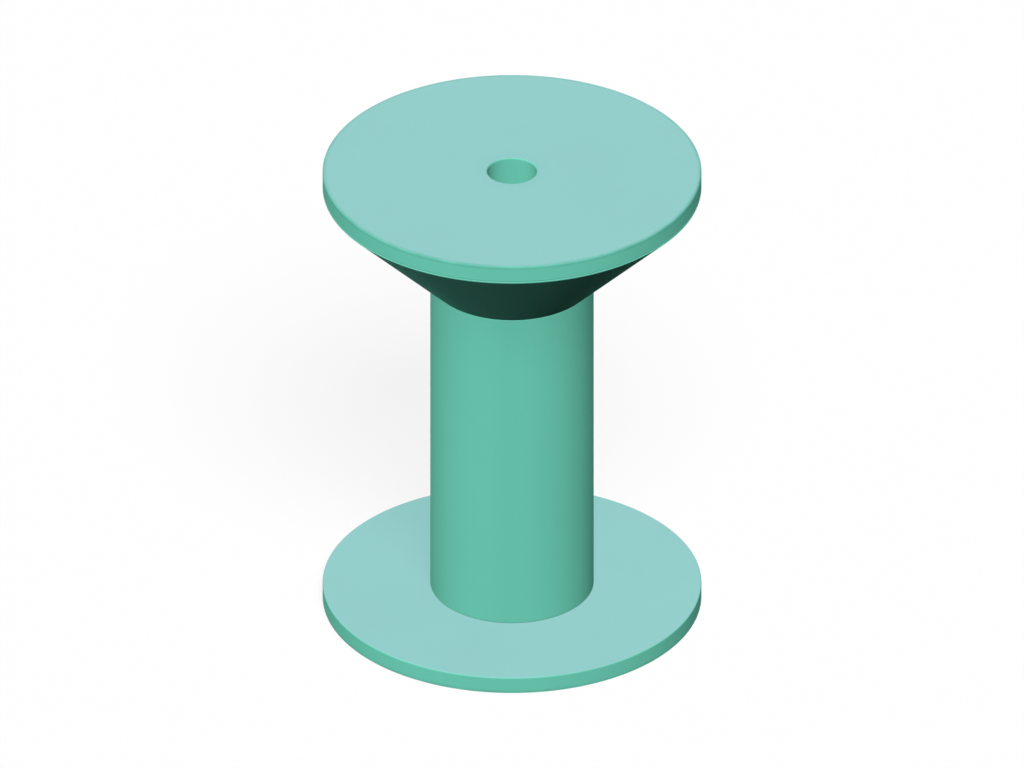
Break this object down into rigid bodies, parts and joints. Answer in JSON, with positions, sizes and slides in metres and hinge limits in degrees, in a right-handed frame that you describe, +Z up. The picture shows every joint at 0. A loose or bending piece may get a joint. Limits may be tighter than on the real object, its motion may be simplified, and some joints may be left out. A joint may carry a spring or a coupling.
{
  "type": "yarn bobbin",
  "caption": "Moulded yarn bobbin: a barrel between two flat flanges, with a hollow cone under the top flange and bushes for a spindle.",
  "frame": {"origin": "centre of the bottom flange's flat face, on the axis of the bore", "axes": "+Z runs up the axis of the bore, from the plain flange to the flange with the cone; X and Y are any two directions across it"},
  "size_m": [0.0764, 0.0764, 0.1],
  "materials": {
    "bobbin_plastic": "satin",
    "bush_bronze": "satin",
    "tube_plastic": "satin"
  },
  "bodies": {
    "root": {"bottom_flange": "bobbin_plastic", "base_plug": "bobbin_plastic", "lower_bush": "bush_bronze", "barrel": "bobbin_plastic", "guide_tube": "tube_plastic", "cone_head": "bobbin_plastic", "upper_bush": "bush_bronze", "top_flange": "bobbin_plastic"}
  },
  "joints": []
}
